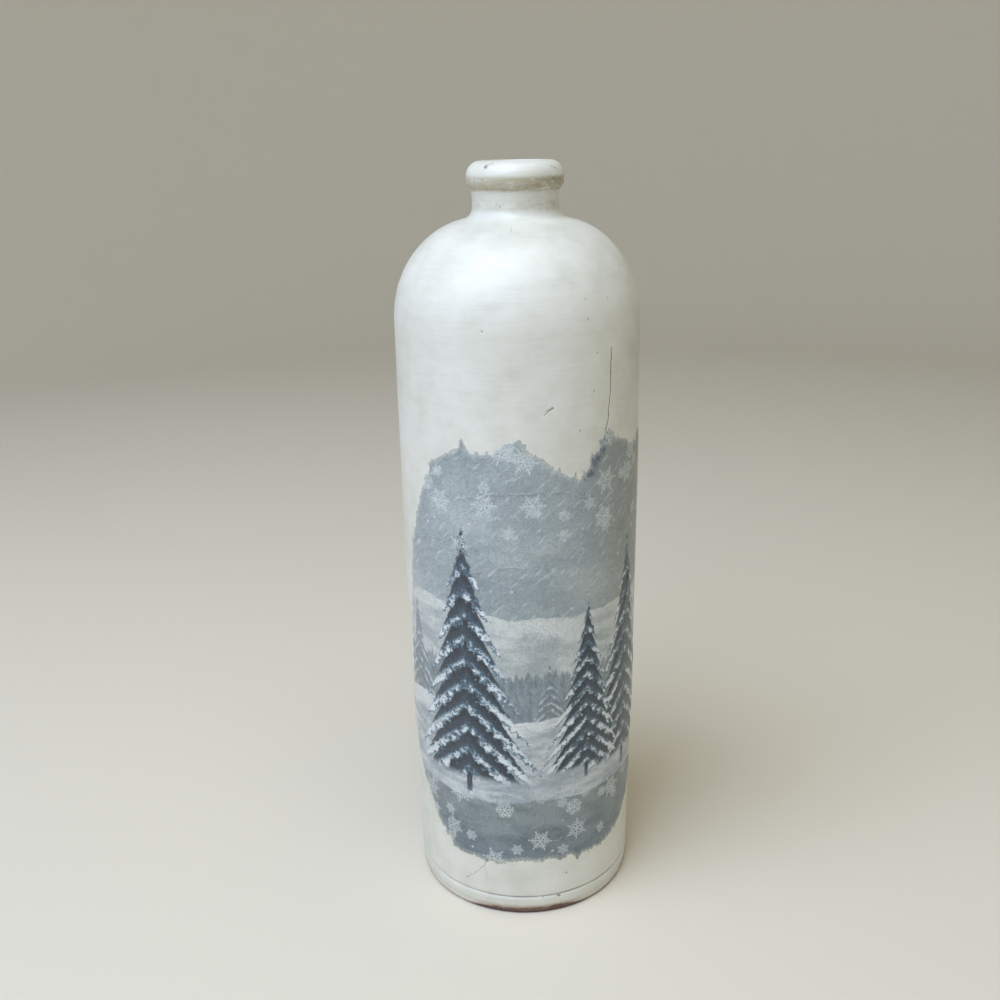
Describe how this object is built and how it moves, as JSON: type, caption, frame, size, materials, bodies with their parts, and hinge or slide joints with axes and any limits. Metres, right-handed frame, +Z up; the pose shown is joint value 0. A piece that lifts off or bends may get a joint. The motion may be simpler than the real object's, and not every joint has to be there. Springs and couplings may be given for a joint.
{
  "type": "stoneware bottle",
  "caption": "Tall round stoneware bottle with a domed shoulder, short corked neck, rolled lip, grooved foot, cream chalk paint and a torn paper print pasted on its front.",
  "frame": {"origin": "centre of the foot on the surface the bottle stands on", "axes": "+Z up along the bottle's axis, towards the mouth; -Y towards the front, where the print is; +X to the right as the front is faced"},
  "size_m": [0.0884, 0.0884, 0.279],
  "materials": {
    "bare_clay": "matte",
    "glaze": "gloss",
    "chalk_paint": "satin",
    "printed_paper": "satin"
  },
  "bodies": {
    "root": {"foot_plate": "bare_clay", "wall_tube": "bare_clay", "shoulder_dome": "bare_clay", "neck": "bare_clay", "lip_ring": "bare_clay", "glaze_lining": "glaze", "paint_coat": "chalk_paint", "paper_print": "printed_paper"}
  },
  "joints": []
}
